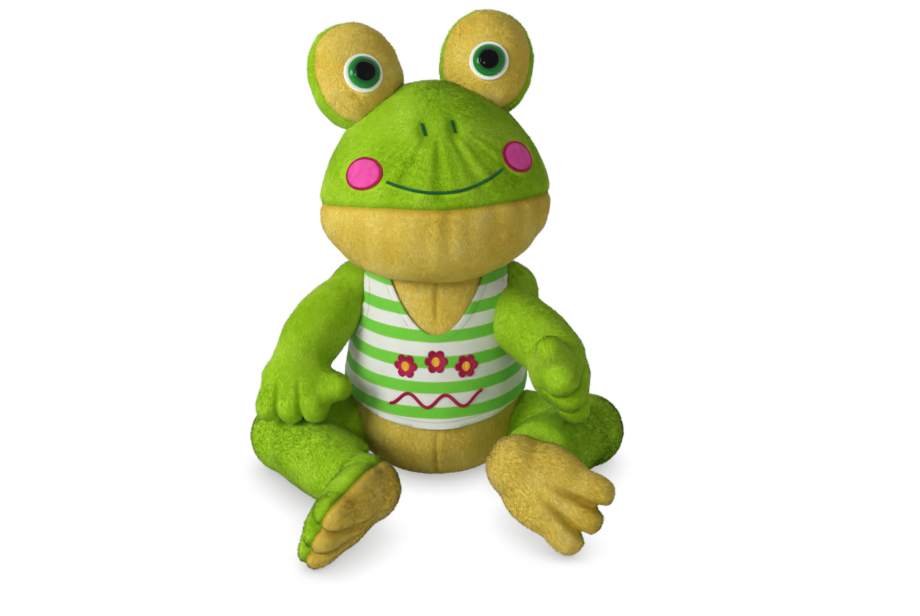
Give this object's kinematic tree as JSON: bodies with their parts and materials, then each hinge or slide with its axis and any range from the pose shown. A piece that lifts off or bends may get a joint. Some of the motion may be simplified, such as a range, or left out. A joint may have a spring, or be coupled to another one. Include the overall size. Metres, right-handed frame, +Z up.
{
  "type": "stuffed plush frog",
  "caption": "Seated stuffed frog toy with raised eye mounds, glossy dome eyes, a stitched smile, felt cheeks, a striped knit vest, soft jointed limbs and yellow soles.",
  "frame": {"origin": "centre of the flat face that the frog sits on, on the floor", "axes": "+Z up, the frog faces -Y, and its left side is +X"},
  "size_m": [0.3776, 0.3418, 0.4497],
  "materials": {
    "plush_green": "short-pile plush, brushed, with a soft sheen",
    "plush_yellow": "short-pile plush, brushed, with a soft sheen",
    "filling": "loose polyester fibre filling",
    "vest_knit": "fine cotton jersey with light cross stripes",
    "green_thread": "thick matt thread",
    "crimson_thread": "satin-stitched embroidery thread",
    "yellow_thread": "satin-stitched embroidery thread",
    "pink_felt": "felt",
    "white_plastic": "polished moulded plastic",
    "green_plastic": "polished moulded plastic under a clear dome",
    "black_plastic": "polished moulded plastic"
  },
  "bodies": {
    "torso": {"torso_belly_panel": "plush_yellow", "torso_back_panel": "plush_green", "torso_filling": "filling", "vest_front": "vest_knit", "vest_back": "vest_knit", "blossom_right": "crimson_thread", "blossom_centre_right": "yellow_thread", "blossom_middle": "crimson_thread", "blossom_centre_middle": "yellow_thread", "blossom_left": "crimson_thread", "blossom_centre_left": "yellow_thread", "stitched_wave": "crimson_thread"},
    "neck": {"neck_seam_ring": "green_thread"},
    "head": {"head_crown": "plush_green", "head_jaw": "plush_yellow", "head_filling": "filling", "eye_base_right": "white_plastic", "eye_iris_right": "green_plastic", "eye_pupil_right": "black_plastic", "eye_washer_right": "white_plastic", "eye_mound_front_right": "plush_yellow", "eye_mound_back_right": "plush_green", "eye_mound_filling_right": "filling", "eye_base_left": "white_plastic", "eye_iris_left": "green_plastic", "eye_pupil_left": "black_plastic", "eye_washer_left": "white_plastic", "eye_mound_front_left": "plush_yellow", "eye_mound_back_left": "plush_green", "eye_mound_filling_left": "filling", "cheek_right": "pink_felt", "cheek_border_right": "crimson_thread", "nostril_stitch_right": "green_thread", "cheek_left": "pink_felt", "cheek_border_left": "crimson_thread", "nostril_stitch_left": "green_thread", "mouth_stitch": "green_thread"},
    "foot_right": {"foot_upper_right": "plush_green", "foot_sole_right": "plush_yellow", "foot_filling_right": "filling"},
    "foot_left": {"foot_upper_left": "plush_green", "foot_sole_left": "plush_yellow", "foot_filling_left": "filling"},
    "thigh_right": {"thigh_cover_right": "plush_green", "thigh_filling_right": "filling"},
    "shin_right": {"shin_cover_right": "plush_green", "shin_filling_right": "filling"},
    "thigh_left": {"thigh_cover_left": "plush_green", "thigh_filling_left": "filling"},
    "shin_left": {"shin_cover_left": "plush_green", "shin_filling_left": "filling"},
    "arm_right": {"arm_cover_right": "plush_green", "arm_filling_right": "filling"},
    "arm_left": {"arm_cover_left": "plush_green", "arm_filling_left": "filling"}
  },
  "joints": [
    {"name": "neck_turn", "type": "hinge", "parent": "torso", "child": "neck", "pos_m": [0, 0, 0.2295], "axis": [0, 0, 1], "range_deg": [-20, 20], "stiffness_Nm_per_rad": 0.3},
    {"name": "neck_nod", "type": "hinge", "parent": "neck", "child": "head", "pos_m": [0, 0, 0.2295], "axis": [1, 0, 0], "range_deg": [-8, 8], "stiffness_Nm_per_rad": 1.5},
    {"name": "shoulder_right", "type": "hinge", "parent": "torso", "child": "arm_right", "pos_m": [-0.08213, 0, 0.1775], "axis": [-1, 0, 0], "range_deg": [0, 30], "stiffness_Nm_per_rad": 0.05},
    {"name": "hip_right", "type": "hinge", "parent": "torso", "child": "thigh_right", "pos_m": [-0.09179, -0.0295, 0.0345], "axis": [0, 0, -1], "range_deg": [-10, 10], "stiffness_Nm_per_rad": 0.1},
    {"name": "knee_right", "type": "hinge", "parent": "thigh_right", "child": "shin_right", "pos_m": [-0.15071, -0.05573, 0.0345], "axis": [0, 0, -1], "range_deg": [0, 80], "stiffness_Nm_per_rad": 0.05},
    {"name": "ankle_right", "type": "hinge", "parent": "shin_right", "child": "foot_right", "pos_m": [-0.0646, -0.17426, 0.04506], "axis": [0, 0, 1], "range_deg": [0, 35], "stiffness_Nm_per_rad": 0.03},
    {"name": "shoulder_left", "type": "hinge", "parent": "torso", "child": "arm_left", "pos_m": [0.08213, 0, 0.1775], "axis": [-1, 0, 0], "range_deg": [0, 30], "stiffness_Nm_per_rad": 0.05},
    {"name": "hip_left", "type": "hinge", "parent": "torso", "child": "thigh_left", "pos_m": [0.09179, -0.0295, 0.0345], "axis": [0, 0, 1], "range_deg": [-10, 10], "stiffness_Nm_per_rad": 0.1},
    {"name": "knee_left", "type": "hinge", "parent": "thigh_left", "child": "shin_left", "pos_m": [0.15488, -0.04291, 0.0345], "axis": [0, 0, 1], "range_deg": [0, 80], "stiffness_Nm_per_rad": 0.05},
    {"name": "ankle_left", "type": "hinge", "parent": "shin_left", "child": "foot_left", "pos_m": [0.07725, -0.16715, 0.06265], "axis": [0, 0, -1], "range_deg": [0, 35], "stiffness_Nm_per_rad": 0.03}
  ]
}
